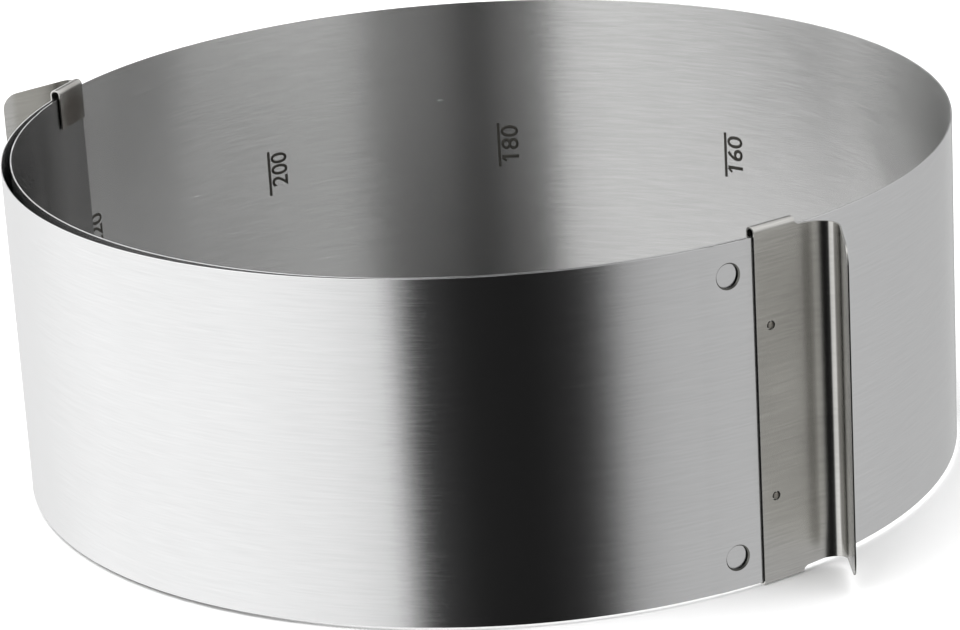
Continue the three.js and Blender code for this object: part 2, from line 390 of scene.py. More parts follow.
def brushed_steel(name, light, dark, roughness, smudge, scratch, patches=()):
    material, nodes = new_finish(name)
    place = nodes.add("ShaderNodeTexCoord", output="Object")
    lines = stretched_noise(nodes, place, LINE_STRETCH, 3.0, 0.65)
    scratches = stretched_noise(nodes, place, SCRATCH_STRETCH, 1.0)
    cloud = noise(nodes, place, SMUDGE_SCALE, 2.0)
    shade = lines + (cloud - 0.5) * smudge
    colour = mix_colours(nodes, shade, dark, light)
    for patch in patches:
        colour = add_patch(nodes, place, colour, patch)
    height = lines * LINE_DEPTH + scratches * scratch
    relief = nodes.add("ShaderNodeBump", inputs={"Strength": 1.0, "Distance": RELIEF, "Height": height})
    surface = nodes.add(
        "ShaderNodeBsdfPrincipled",
        inputs={
            "Base Color": colour,
            "Metallic": 1.0,
            "Roughness": (shade - 0.5) * ROUGHNESS_SPREAD + roughness,
            "Normal": relief,
            "Anisotropic": 1.0,
            "Anisotropic Rotation": UPRIGHT_SMEAR,
        },
    )
    nodes.add("ShaderNodeOutputMaterial", inputs={"Surface": surface})
    return material


print("brushed lines are about", round(1 / (LINE_STRETCH[2] * MM), 2), "mm wide")

# %% [markdown]
# The outside of the strip is smoother than the inside, so the inside is duller and its lines are stronger.
# Round the inner end of the strip, shade is painted into the inside finish, so the inside is darker there.
# The painted shade is deepest on the inner lap, and the outer lap beside it is only a little darker. A
# length of strip takes its inside finish on the faces that look towards the middle of the ring, which is
# simpler than making two skins.

# %% Finishes of the strip
OUTSIDE_LOOK = {
    "light": (0.688, 0.69, 0.692, 1),
    "dark": (0.588, 0.59, 0.592, 1),
    "roughness": 0.17,
    "smudge": 0.4,
    "scratch": 0.5,
}
INSIDE_LOOK = {
    "light": (0.75, 0.75, 0.745, 1),
    "dark": (0.58, 0.58, 0.575, 1),
    "roughness": 0.26,
    "smudge": 0.2,
    "scratch": 0.4,
}
# Painted shade round the inner end of the strip: light on the outer lap, deep on the inner lap.
inner_end_middle = Vector((inner_end[0], inner_end[1], band_bottom + band_height / 2))
inner_end_shade = Patch(inner_end_middle, 45 * MM, 110 * MM, grey(0.72), ALL_ROUND)
inner_end_deep_shade = Patch(inner_end_middle, 50 * MM, 140 * MM, grey(0.40), ALL_ROUND)
strip_outside = brushed_steel("strip_outside", **OUTSIDE_LOOK)
strip_inside = brushed_steel("strip_inside", **INSIDE_LOOK, patches=[inner_end_shade])
strip_inside_shaded = brushed_steel("strip_inside_shaded", **INSIDE_LOOK, patches=[inner_end_deep_shade])


def coat_strip(piece, inside):
    piece.data.materials.append(strip_outside)
    piece.data.materials.append(inside)
    for face in piece.data.polygons:
        looks_in = face.normal.x * face.center.x + face.normal.y * face.center.y < 0
        face.material_index = 1 if looks_in else 0


print("made", len(bpy.data.materials), "finishes so far")

# %% [markdown]
# The clips are a warmer, smudgier steel than the strip. Round the spot welds, the lips of the inner clip
# are painted darker and a little brown: painted shade. Where the sheet was punched, the cut metal is
# rougher, and its dark colour is painted shade for the inside of the hole.

# %% Finishes of the clips and of cut metal
CLIP_LOOK = {
    "light": (0.56, 0.555, 0.535, 1),
    "dark": (0.34, 0.335, 0.32, 1),
    "roughness": 0.20,
    "smudge": 1.2,
    "scratch": 0.5,
}
# Cut metal is rougher than brushed steel; its dark colour is painted shade for the inside of a hole.
CUT_LOOK = {
    "light": (0.17, 0.17, 0.16, 1),
    "dark": (0.09, 0.09, 0.08, 1),
    "roughness": 0.40,
    "smudge": 0.4,
    "scratch": 0.5,
}
# Painted shade on the inner clip's lips, darkest round each weld.
WELD_SHADE_TONE = (0.40, 0.37, 0.34, 1)
weld_shade = []
for node in ("weld_inner_lower", "weld_inner_upper"):
    low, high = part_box(node)
    weld_shade.append(Patch((low + high) / 2, 2 * MM, 9 * MM, WELD_SHADE_TONE, ALL_ROUND))
clip_steel = brushed_steel("clip_steel", **CLIP_LOOK)
lip_steel = brushed_steel("lip_steel", **CLIP_LOOK, patches=weld_shade)
cut_edge = brushed_steel("cut_edge", **CUT_LOOK)
print("lips are tinted at", len(weld_shade), "welds")

# %% [markdown]
# One long sheet would be the simplest strip, but a piece can only bend between two neighbouring bodies. So
# the strip is made in lengths that run from the middle of one panel to the middle of the next, with one
# hinge inside each. These helpers find points on a panel's bend, and the angle from one point to another.

# %% Points and angles on a bend


def angle_between(centre, start, stop):
    first = start - centre
    last = stop - centre
    return math.atan2(first[0] * last[1] - first[1] * last[0], first @ last)


def swing(arm, turn):
    across = np.array([-arm[1], arm[0]])
    return arm * math.cos(turn) + across * math.sin(turn)


def point_on_bend(name, share):
    centre = centres[name]
    start = bends[name][0]
    turn = angle_between(centre, start, bends[name][-1]) * share
    return centre + swing(start - centre, turn)


def unit(vector):
    return vector / np.linalg.norm(vector)


def tangent(centre, point):
    arm = point - centre
    return np.array([-arm[1], arm[0]]) / np.linalg.norm(arm)


panel_turn = angle_between(centres["band_10"], bends["band_10"][0], bends["band_10"][-1])
print("one panel bends by", round(math.degrees(panel_turn), 1), "degrees")

# %% [markdown]
# Each length starts as a standing edge that is spun round the centre of its bend. Solidify then gives the
# sheet its thickness. The first and last facets are hair thin, so the shading of two lengths that meet
# agrees there, and no seam shows.

# %% Stand a sheet on edge and bend it
SHEET = 0.35 * MM
RING_RADIUS = 110 * MM
HAIR = math.radians(0.02)
HAIR_LENGTH = HAIR * RING_RADIUS


def standing_edge(name, start, heading):
    middle = start + heading * HAIR_LENGTH / 2
    turned = (math.pi / 2, 0, math.atan2(heading[1], heading[0]))
    place = (middle[0], middle[1], band_bottom + band_height / 2)
    piece = add_sheet(name, (HAIR_LENGTH, band_height, 0), turned, place)
    edit(piece)
    pick_points(piece, lambda co: (co.x - middle[0]) * heading[0] + (co.y - middle[1]) * heading[1] > 0)
    return piece


def spin_round(centre, angle, steps):
    spin_picked((centre[0], centre[1], band_bottom), (0, 0, 1), angle, steps)


def run_straight(heading, length):
    push_out((heading[0] * length, heading[1] * length, 0))


def thicken(piece):
    bpy.ops.mesh.select_all(action="SELECT")
    bpy.ops.mesh.normals_make_consistent(inside=False)
    leave_edit()
    apply_modifier(piece, "SOLIDIFY", thickness=SHEET, offset=0.0)


print("the first facet is", round(HAIR_LENGTH / MM, 3), "mm long")

# %% [markdown]
# A slit strip has sharp edges, and on a baking tool they are broken so that nobody is cut. A bevel
# modifier that works by angle would round the end caps too, where the next length follows on. So the upper
# and lower edges are picked by the faces beside them, and only those get a small bevel.

# %% Break the cut edges
EDGE_BREAK = 0.06 * MM
CAP_WIDTH = 1.2 * SHEET
CAP_AREA = 0.5 * SHEET * band_height
# A face looks along a direction if the cosine is over FACING, and it stands if its slope is under STANDING.
FACING = 0.9
STANDING = 0.1


def is_end_cap(face):
    spans_across = [math.hypot(a.co.x - b.co.x, a.co.y - b.co.y) for a in face.verts for b in face.verts]
    return max(spans_across) < CAP_WIDTH and face.calc_area() > CAP_AREA


def is_rim_corner(line):
    rims = [face for face in line.link_faces if abs(face.normal.z) > FACING]
    walls = [face for face in line.link_faces if abs(face.normal.z) < STANDING and not is_end_cap(face)]
    return len(rims) == 1 and len(walls) == 1


def break_edges(piece):
    edit(piece)
    pick_edges(piece, is_rim_corner)
    bpy.ops.mesh.bevel(offset=EDGE_BREAK, segments=2, affect="EDGES", clamp_overlap=False)
    leave_edit()


print("edges are broken by", round(EDGE_BREAK / MM, 2), "mm")

# %% [markdown]
# Each length is spun round the first panel's centre as far as the hinge, and then round the second panel's
# centre. The last length ends early on the last panel, because the punched holes there need a stretch that
# keeps its shape.

# %% Bend the lengths of the strip
END_SHARE = {"band_50": 0.15}
MIDDLE = 0.5
BEND_STEPS = 14
# Lengths that end on these first panels take the finish with deep painted shade.
DEEP_SHADE_PANELS = 8


def bent_length(first, second):
    hinge = hinges[frozenset((first, second))]
    start = point_on_bend(first, END_SHARE.get(first, MIDDLE))
    stop = point_on_bend(second, END_SHARE.get(second, MIDDLE))
    piece = standing_edge(f"strip_{first[5:]}_{second[5:]}", start, tangent(centres[first], start))
    spin_round(centres[first], angle_between(centres[first], start, hinge) - HAIR, BEND_STEPS)
    spin_round(centres[second], angle_between(centres[second], hinge, stop) - HAIR, BEND_STEPS)
    spin_round(centres[second], HAIR, 1)
    thicken(piece)
    break_edges(piece)
    smooth(piece, degrees=20)
    coat_strip(piece, strip_inside_shaded if second in panel_names[:DEEP_SHADE_PANELS] else strip_inside)
    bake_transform(piece)
    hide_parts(second)
    return piece


strip = [bent_length(first, second) for first, second in zip(panel_names, panel_names[1:])]
print("bent", len(strip), "lengths, each with", len(strip[0].data.polygons), "faces")

# %% [markdown]
# Each end of the strip is flat where its clip holds it. The inner end is the simpler one: it runs straight
# along the flat, and then bends as far as the middle of its panel, where the first length follows on.

# %% The inner end of the strip
FLAT = np.linalg.norm(inner_flat_stop - inner_end)


def finish_end(piece, body, inside):
    break_edges(piece)
    smooth(piece, degrees=20)
    coat_strip(piece, inside)
    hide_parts(body)
    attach(piece, body)


def inner_end_piece():
    heading = unit(inner_flat_stop - inner_end)
    centre = centres["band_01"]
    stop = point_on_bend("band_01", MIDDLE)
    piece = standing_edge("strip_inner_end", inner_end, heading)
    run_straight(heading, FLAT - HAIR_LENGTH)
    spin_round(centre, angle_between(centre, inner_flat_stop, stop) - HAIR, BEND_STEPS)
    spin_round(centre, HAIR, 1)
    thicken(piece)
    finish_end(piece, "band_01", strip_inside_shaded)
    return piece


strip_inner_end = inner_end_piece()
print("inner end has", len(strip_inner_end.data.polygons), "faces")
print("each end is flat for", round(FLAT / MM, 1), "mm")

# %% [markdown]
# The outer end has two round holes, punched beside the clip, that give a finger something to pull on. They
# could be drawn into the sheet point by point, but a Boolean is shorter and cuts as the punch does. The
# punch is a cone here, because the edge of a hole flares outwards once its burr is taken off, and the
# flared wall takes the cut metal finish, whose dark colour is painted shade.

# %% Punch the holes of the outer end
HOLE_RADIUS = 2.85 * MM
PUNCH_DEPTH = 3.5 * MM
PUNCH_FLARE = 1.6 * MM
HOLE_FROM_CLIP = 6.3 * MM
HOLE_FROM_EDGE = 7.3 * MM
CUT_INDEX = 2


def punch_holes(piece):
    centre = centres["band_50"]
    arm = outer_flat_start - centre
    place = centre + swing(arm, -HOLE_FROM_CLIP / np.linalg.norm(arm))
    out = unit(place - centre)
    holes = []
    for height in (band_bottom + HOLE_FROM_EDGE, band_top - HOLE_FROM_EDGE):
        clear_selection()
        bpy.ops.mesh.primitive_cone_add(
            vertices=64,
            radius1=HOLE_RADIUS - PUNCH_FLARE,
            radius2=HOLE_RADIUS + PUNCH_FLARE,
            depth=PUNCH_DEPTH,
            location=(place[0], place[1], height),
            rotation=(math.pi / 2, 0, math.atan2(out[1], out[0]) + math.pi / 2),
        )
        punch = bpy.context.object
        apply_modifier(piece, "BOOLEAN", object=punch, operation="DIFFERENCE", solver="EXACT")
        bpy.data.objects.remove(punch)
        holes.append((Vector((place[0], place[1], height)), Vector((out[0], out[1], 0))))
    return holes


# The hole walls take the dark cut metal finish, which is painted shade.
def coat_hole_walls(piece, holes):
    piece.data.materials.append(cut_edge)
    for face in piece.data.polygons:
        for middle, out in holes:
            near = (face.center - middle).length < HOLE_RADIUS + SHEET
            if near and abs(face.normal.dot(out)) < FACING:
                face.material_index = CUT_INDEX


def outer_end_piece():
    centre = centres["band_50"]
    start = point_on_bend("band_50", END_SHARE["band_50"])
    piece = standing_edge("strip_outer_end", start, tangent(centre, start))
    spin_round(centre, angle_between(centre, start, outer_flat_start) - HAIR, 3 * BEND_STEPS)
    run_straight(unit(outer_end - outer_flat_start), FLAT)
    thicken(piece)
    holes = punch_holes(piece)
    finish_end(piece, "band_50", strip_inside)
    coat_hole_walls(piece, holes)
    return piece


strip_outer_end = outer_end_piece()
print("outer end has", len(strip_outer_end.data.polygons), "faces after punching")

# %% [markdown]
# A clip is one piece of sheet. It is drawn here with no thickness, with x along the plate from its free
# edge, y outwards and z along its height. Past the flat, the sheet steps in from the hooks and tapers a
# little, and its far end is rolled round a bar into a curl that ends in a flat grip. Spin could make the
# curl in one go, but the sheet gets narrower all along it, and the curl starts gently before it tightens.
# So its course is a list of short chords, each with its length and its turn.

# %% The course of a clip's sheet
CLIP_SHEET = 0.4 * MM
CLIP_LENGTH = 37.3 * MM
PLATE_HEIGHT = 78.5 * MM
STEP_LENGTH = 0.8 * MM
CLIP_TAPER = math.radians(4.6)
CURL_RADIUS = 3.45 * MM
EASE_TURN = math.radians(45)
CURL_STEPS = 20


def half_height(run):
    return PLATE_HEIGHT / 2 - (run - FLAT) * math.tan(CLIP_TAPER)


def chord(radius, turn):
    return 2 * radius * math.sin(turn / 2)


# The tight part ends where an even curl of CURL_RADIUS would. The second result is how much sooner the
# bend starts.
def tight_curl(turn, ease_radius):
    rise = CURL_RADIUS * (1 - math.cos(turn)) - ease_radius * (1 - math.cos(EASE_TURN))
    radius = rise / (math.cos(EASE_TURN) - math.cos(turn))
    reach = ease_radius * math.sin(EASE_TURN) + radius * (math.sin(turn) - math.sin(EASE_TURN))
    return radius, reach - CURL_RADIUS * math.sin(turn)


def clip_stretches(plate_length, curl_turn, ease_radius):
    tight_radius, early = tight_curl(curl_turn, ease_radius)
    ease_step = EASE_TURN / CURL_STEPS
    tight_step = (curl_turn - EASE_TURN) / CURL_STEPS
    stretches = [(plate_length - early - FLAT - STEP_LENGTH, 0.0)]
    stretches += [(chord(ease_radius, ease_step), ease_step)] * CURL_STEPS
    stretches += [(chord(tight_radius, tight_step), tight_step)] * CURL_STEPS
    stretches.append((CLIP_LENGTH - plate_length - CURL_RADIUS * curl_turn, 0.0))
    return stretches


print("a clip's sheet is", round(CLIP_LENGTH / MM, 1), "mm long before it is rolled")

# %% [markdown]
# Extrude carries the plate's end along that course, and a resize narrows it at each step. The blank is
# then folded over at the top and bottom into two hooks, each with two round folds and a lip, which spin
# makes. Solidify gives the folded sheet the thickness of the metal.

# %% Fold a clip from one sheet
CLIP_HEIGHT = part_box("clip_outer_end")[1].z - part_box("clip_outer_end")[0].z
FOLD_RADIUS = 1.0 * MM
FOLD_DEPTH = 2.3 * MM
FOLD_STEPS = 6
FOLD_TOP = CLIP_HEIGHT / 2 - CLIP_SHEET / 2 - FOLD_RADIUS
LIP_LENGTH = 9.8 * MM
GRIP_CORNER = 3.5 * MM
MERGE_GAP = 0.001 * MM


def carry_on(move, old_half, new_half):
    push_out((move[0], move[1], 0))
    bpy.ops.transform.resize(value=(1, 1, new_half / old_half), center_override=(0, 0, 0))


def roll_end(stretches):
    run = FLAT + STEP_LENGTH
    half = half_height(run)
    carry_on((STEP_LENGTH, 0), FOLD_TOP, half)
    heading = 0.0
    for length, turn in stretches:
        way = heading + turn / 2
        run += length
        next_half = half_height(run)
        carry_on((length * math.cos(way), length * math.sin(way)), half, next_half)
        heading += turn
        half = next_half


def fold_hook(piece, side):
    pick_points(piece, lambda co: co.x < FLAT + TOUCH and co.z * side > FOLD_TOP - TOUCH)
    turn = math.pi / 2 * side
    spin_picked((0, -FOLD_RADIUS, FOLD_TOP * side), (1, 0, 0), turn, FOLD_STEPS)
    push_out((0, 2 * FOLD_RADIUS - FOLD_DEPTH, 0))
    spin_picked((0, FOLD_RADIUS - FOLD_DEPTH, FOLD_TOP * side), (1, 0, 0), turn, FOLD_STEPS)
    push_out((0, 0, (FOLD_RADIUS + CLIP_SHEET / 2 - LIP_LENGTH) * side))


def fold_clip(name, plate_length, curl_turn, ease_radius):
    piece = add_sheet(name, (FLAT, 2 * FOLD_TOP, 0), (math.pi / 2, 0, 0), (FLAT / 2, 0, 0))
    edit(piece)
    pick_points(piece, lambda co: co.x > FLAT / 2)
    roll_end(clip_stretches(plate_length, curl_turn, ease_radius))
    bpy.ops.mesh.select_mode(type="VERT")
    bpy.ops.mesh.bevel(offset=GRIP_CORNER, offset_type="OFFSET", segments=8, affect="VERTICES")
    fold_hook(piece, 1)
    fold_hook(piece, -1)
    bpy.ops.mesh.select_all(action="SELECT")
    bpy.ops.mesh.remove_doubles(threshold=MERGE_GAP)
    bpy.ops.mesh.normals_make_consistent(inside=False)
    leave_edit()
    apply_modifier(piece, "SOLIDIFY", thickness=CLIP_SHEET, offset=0.0, use_even_offset=True)
    piece.data.materials.append(clip_steel)
    return piece


print("a clip is", round(CLIP_HEIGHT / MM, 1), "mm high over its hooks")

# %% [markdown]
# The hollow of a curl is painted darker, as painted shade. Only the faces that look into the hollow take
# it, and it fades out before they end. A clip is then set in its place on the strip, with its edges broken
# by a bevel.

# %% Finish a clip and set it in place
# Painted shade in a curl's hollow: full near the curl's end, gone past the far distance.
CURL_SHADE_NEAR = 1.4 * MM
CURL_SHADE_FAR = 2.7 * MM
CURL_SHADE_TONE = (0.60, 0.595, 0.585, 1)
CLIP_EDGE_BREAK = 0.07 * MM
SHARP_CORNER = math.radians(50)


def coat_curl(piece, place, plate_length, curl_turn):
    axis = Vector((plate_length, CURL_RADIUS, 0))
    curl_end = axis + Vector((math.sin(curl_turn), -math.cos(curl_turn), 0)) * CURL_RADIUS
    curl_shade = Patch(place @ curl_end, CURL_SHADE_NEAR, CURL_SHADE_FAR, CURL_SHADE_TONE, UPRIGHT)
    piece.data.materials.append(brushed_steel(f"{piece.name}_grip", **CLIP_LOOK, patches=[curl_shade]))
    for face in piece.data.polygons:
        inwards = axis - face.center
        inwards.z = 0
        if face.center.y > 2 * CLIP_SHEET and face.normal.dot(inwards) > 0:
            face.material_index = len(piece.data.materials) - 1


def outward_of(heading):
    return np.array([heading[1], -heading[0]])


def clip_place(free_edge, direction, out):
    along = Vector((direction[0], direction[1], 0))
    outward = Vector((out[0], out[1], 0))
    place = Matrix((along, outward, along.cross(outward))).transposed().to_4x4()
    place.translation = (free_edge[0], free_edge[1], CLIP_HEIGHT / 2)
    return place


def finish_clip(piece, place, node, body):
    corners = {"limit_method": "ANGLE", "angle_limit": SHARP_CORNER}
    apply_modifier(piece, "BEVEL", width=CLIP_EDGE_BREAK, segments=2, **corners)
    piece.matrix_world = place
    apply_place(piece)
    smooth(piece, degrees=25)
    apply_modifier(piece, "WEIGHTED_NORMAL", keep_sharp=True)
    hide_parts(node)
    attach(piece, body)


print("a clip's edges are broken by", round(CLIP_EDGE_BREAK / MM, 2), "mm")

# %% [markdown]
# The outer clip lies over the outer end of the strip. It is plug welded through two small holes in its
# plate, which show in the photograph as dots with a dark rim. A Boolean drills the holes before the clip
# is set in place.

# %% The outer clip
OUTER_PLATE_LENGTH = 16.2 * MM
OUTER_CURL = math.radians(123)
OUTER_EASE = 6.0 * MM
WELD_GAP = 0.2 * MM
WELD_HOLE = 1.05 * MM
WELD_FROM_EDGE = 3.8 * MM
plate_middle = SHEET / 2 + WELD_GAP + CLIP_SHEET / 2
outer_heading = unit(outer_end - outer_flat_start)
outer_out = outward_of(outer_heading)
outer_place = clip_place(outer_flat_start + outer_out * plate_middle, outer_heading, outer_out)
outer_clip = fold_clip("outer_clip", OUTER_PLATE_LENGTH, OUTER_CURL, OUTER_EASE)
coat_curl(outer_clip, outer_place, OUTER_PLATE_LENGTH, OUTER_CURL)
for node in ("weld_outer_lower", "weld_outer_upper"):
    low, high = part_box(node)
    clear_selection()
    bpy.ops.mesh.primitive_cylinder_add(
        vertices=40,
        radius=WELD_HOLE,
        depth=4 * CLIP_SHEET,
        location=(WELD_FROM_EDGE, 0, CLIP_HEIGHT / 2 - (low.z + high.z) / 2),
        rotation=(math.pi / 2, 0, 0),
    )
    drill = bpy.context.object
    apply_modifier(outer_clip, "BOOLEAN", object=drill, operation="DIFFERENCE", solver="EXACT")
    bpy.data.objects.remove(drill)
finish_clip(outer_clip, outer_place, "clip_outer_end", "band_50")
print("outer clip has", len(outer_clip.data.polygons), "faces")

# %% [markdown]
# The inner clip is cut from the same blank and turned over. Its lips are spot welded to the inner end of
# the strip, so its plate stands outside the outer lap.

# %% The inner clip
INNER_PLATE_LENGTH = 13.3 * MM
INNER_CURL = math.radians(140)
INNER_EASE = 4.5 * MM
inner_heading = unit(inner_flat_stop - inner_end)
inner_out = outward_of(inner_heading)
inner_free_edge = inner_flat_stop + inner_out * (FOLD_DEPTH - plate_middle)
inner_place = clip_place(inner_free_edge, -inner_heading, inner_out)
inner_clip = fold_clip("inner_clip", INNER_PLATE_LENGTH, INNER_CURL, INNER_EASE)
# The lips take the finish with painted shade round the welds.
inner_clip.data.materials.append(lip_steel)
for face in inner_clip.data.polygons:
    face.material_index = 1 if face.center.y < -FOLD_DEPTH / 2 else 0
coat_curl(inner_clip, inner_place, INNER_PLATE_LENGTH, INNER_CURL)
finish_clip(inner_clip, inner_place, "clip_inner_end", "band_01")
print("inner clip has", len(inner_clip.data.polygons), "faces")

# %% [markdown]
# Metal that has melted in a weld sets again as a rough, spotted grey. It has no brushed lines, so it gets
# a finish of its own, from one fine noise that drives colour, roughness and relief together.

# %% Weld finish
WELD_SPOTS = 2500.0
DARK_WELD = (0.12, 0.115, 0.10, 1)
LIGHT_WELD = (0.52, 0.50, 0.46, 1)
WELD_RELIEF = 0.05 * MM


def weld_finish():
    material, nodes = new_finish("weld_steel")
    place = nodes.add("ShaderNodeTexCoord", output="Object")
    spots = noise(nodes, place, WELD_SPOTS, 3.0)
    colour = mix_colours(nodes, spots, DARK_WELD, LIGHT_WELD)
    relief = nodes.add("ShaderNodeBump", inputs={"Strength": 0.3, "Distance": WELD_RELIEF, "Height": spots})
    surface = nodes.add(
        "ShaderNodeBsdfPrincipled",
        inputs={"Base Color": colour, "Metallic": 1.0, "Roughness": spots * 0.2 + 0.3, "Normal": relief},
    )
    nodes.add("ShaderNodeOutputMaterial", inputs={"Surface": surface})
    return material


weld_steel = weld_finish()
print("made", weld_steel.name)

# %% [markdown]
# The welds are small round nuggets of melted metal. The two in the outer clip's plate show, each as a low
# dome sunk a little below the plate. The cap of a ball would be too round, so a dome starts as a short
# round bar, and its outer face is inset and raised twice. The two discs under the inner clip's lips can't
# be seen, so they keep their CAD shape and take the same finish.

# %% Weld nuggets
NUGGET_RADIUS = 0.75 * MM
NUGGET_LENGTH = 0.45 * MM
DOME_INSETS = (0.12 * MM, 0.3 * MM)
DOME_RISE = 0.06 * MM


def weld_nugget(name, node):
    clear_selection()
    bpy.ops.mesh.primitive_cylinder_add(vertices=40, radius=NUGGET_RADIUS, depth=NUGGET_LENGTH)
    nugget = bpy.context.object
    nugget.name = name
    nugget.data.name = name
    edit(nugget)
    pick_points(nugget, lambda co: co.z > 0)
    for inset in DOME_INSETS:
        bpy.ops.mesh.inset(thickness=inset, depth=DOME_RISE)
    leave_edit()
    low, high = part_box(node)
    nugget.rotation_euler = (math.pi / 2, 0, math.atan2(outer_out[1], outer_out[0]) + math.pi / 2)
    nugget.location = (low + high) / 2
    apply_place(nugget)
    smooth(nugget, degrees=35)
    nugget.data.materials.append(weld_steel)
    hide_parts(node)
    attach(nugget, "band_50")
    return nugget


nuggets = [weld_nugget("nugget_lower", "weld_outer_lower"), weld_nugget("nugget_upper", "weld_outer_upper")]
for name in ("weld_inner_lower", "weld_inner_upper"):
    disc = frame["nodes"][name]
    disc.data.materials.clear()
    disc.data.materials.append(weld_steel)
print("made", len(nuggets), "nuggets, each with", len(nuggets[0].data.polygons), "faces")

# %% [markdown]
# A scale is etched on the inside of the strip: a line and a number for each 20 mm of diameter, read where
# the inner end of the strip stands. Marks are a set distance apart along the strip, 20 mm times pi. So
# this cell measures along the strip from its inner end, and finds the point on its inside at any distance.

# %% Measure along the strip
Stretch = namedtuple("Stretch", "begins length panel centre start")


def strip_course():
    stretches = []
    distance = FLAT
    for number, name in enumerate(panel_names):
        centre = centres[name]
        start = inner_flat_stop if number == 0 else hinges[frozenset((panel_names[number - 1], name))]
        last = number == PANELS - 1
        stop = outer_flat_start if last else hinges[frozenset((name, panel_names[number + 1]))]
        length = angle_between(centre, start, stop) * np.linalg.norm(start - centre)
        stretches.append(Stretch(distance, length, name, centre, start))
        distance += length
    return stretches


course = strip_course()


def stretch_at(distance):
    reached = [stretch for stretch in course if stretch.begins <= distance]
    return reached[-1]


def inside_strip(distance, height, lift):
    stretch = stretch_at(distance)
    arm = stretch.start - stretch.centre
    radius = np.linalg.norm(arm)
    around = swing(arm, (distance - stretch.begins) / radius)
    point = stretch.centre + around * (1 - (SHEET / 2 + lift) / radius)
    return Vector((point[0], point[1], height))


print("strip is", round((course[-1].begins + course[-1].length + FLAT) / MM, 1), "mm long")

# %% [markdown]
# Etching blackens the steel and takes its shine. What is left is nearly black, a little brown and slightly
# patchy, so one fine noise varies both its colour and its roughness.

# %% Etch finish
ETCH_BLOTCHES = 1800.0
DARK_ETCH = (0.012, 0.011, 0.008, 1)
LIGHT_ETCH = (0.04, 0.037, 0.03, 1)


def etch_finish():
    material, nodes = new_finish("etched_mark")
    place = nodes.add("ShaderNodeTexCoord", output="Object")
    blotch = noise(nodes, place, ETCH_BLOTCHES, 3.0)
    colour = mix_colours(nodes, blotch, DARK_ETCH, LIGHT_ETCH)
    surface = nodes.add(
        "ShaderNodeBsdfPrincipled",
        inputs={"Base Color": colour, "Metallic": 0.2, "Roughness": blotch * 0.2 + 0.5},
    )
    nodes.add("ShaderNodeOutputMaterial", inputs={"Surface": surface})
    return material


etched_mark = etch_finish()
print("made", etched_mark.name)

# %% [markdown]
# A mark could be painted by a material, but a mesh keeps its sharp edge at any size and is exported with
# the rest. Each mark is first written flat: a text object for the number, made into a mesh and fitted to
# its size, and a thin bar with rounded corners beside it. Blender's own font has a plain stroke for a one,
# so the flag that the real one has is a small sheet of its own.

# %% Write a mark flat
BAR_LENGTH = 12.0 * MM
BAR_WIDTH = 0.75 * MM
BAR_CORNER = 0.15 * MM
TEXT_SIZE = 6 * MM
STROKE_SWELL = 0.08 * MM
DIGITS_LENGTH = 9.0 * MM
DIGITS_HEIGHT = 4.6 * MM
DIGITS_START = 2.3 * MM
DIGITS_GAP = 0.6 * MM
FLAG_LENGTH = 1.5 * MM
FLAG_WIDTH = 0.65 * MM
FLAG_TURN = math.radians(49)
FLAG_BACK = 0.3 * MM
FLAG_DOWN = 0.65 * MM


def flat_number(diameter):
    clear_selection()
    bpy.ops.object.text_add()
    text = bpy.context.object
    text.data.body = str(diameter)
    text.data.size = TEXT_SIZE
    text.data.resolution_u = 6
    text.data.offset = STROKE_SWELL
    bpy.ops.object.convert(target="MESH")
    number = bpy.context.object
    left = min(v.co.x for v in number.data.vertices)
    right = max(v.co.x for v in number.data.vertices)
    low = min(v.co.y for v in number.data.vertices)
    high = max(v.co.y for v in number.data.vertices)
    number.scale = (DIGITS_LENGTH / (right - left), DIGITS_HEIGHT / (high - low), 1)
    number.location = (DIGITS_START - left * number.scale.x, -DIGITS_GAP - high * number.scale.y, 0)
    apply_place(number)
    return number


def flat_bar():
    bar = add_sheet("bar", (BAR_LENGTH, BAR_WIDTH, 0), (0, 0, 0), (BAR_LENGTH / 2, 0, 0))
    edit(bar)
    bpy.ops.mesh.select_all(action="SELECT")
    bpy.ops.mesh.bevel(offset=BAR_CORNER, segments=3, affect="VERTICES")
    leave_edit()
    return bar


def flat_flag():
    middle = (DIGITS_START - FLAG_BACK, -DIGITS_GAP - FLAG_DOWN, 0)
    return add_sheet("flag", (FLAG_LENGTH, FLAG_WIDTH, 0), (0, 0, FLAG_TURN), middle)


print("a number is", round(DIGITS_LENGTH / MM, 1), "mm long")

# %% [markdown]
# The strokes of a mark are joined and given a hair of thickness. Then the mark is laid on the strip point
# by point: its height becomes a distance along the strip's course. The panel under the middle of its number
# is found as well.

# %% Lay the scale on the strip
MARK_OFFSET = 1.1 * MM
BAR_FROM_EDGE = 33.6 * MM
ETCH_DEPTH = 0.01 * MM
ETCH_LIFT = 0.025 * MM
STARTS_WITH_TWO = 200
DIAMETERS = range(160, 301, 20)


def scale_mark(diameter):
    mark = flat_number(diameter)
    strokes = [flat_bar()]
    if diameter < STARTS_WITH_TWO:
        strokes.append(flat_flag())
    clear_selection()
    for stroke in strokes + [mark]:
        stroke.select_set(True)
    bpy.context.view_layer.objects.active = mark
    bpy.ops.object.join()
    mark.name = f"mark_{diameter}"
    mark.data.name = mark.name
    apply_modifier(mark, "SOLIDIFY", thickness=ETCH_DEPTH, offset=0.0)
    bar_at = math.pi * diameter * MM - MARK_OFFSET
    for point in mark.data.vertices:
        height = band_bottom + BAR_FROM_EDGE + point.co.x
        point.co = inside_strip(bar_at + point.co.y, height, ETCH_LIFT + point.co.z)
    mark.data.materials.append(etched_mark)
    middle = bar_at - DIGITS_HEIGHT / 2
    stretch = stretch_at(middle)
    past_middle = middle > stretch.begins + stretch.length / 2
    number = panel_names.index(stretch.panel) + (1 if past_middle else 0)
    panel_names[number - 1]
    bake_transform(mark)
    return mark


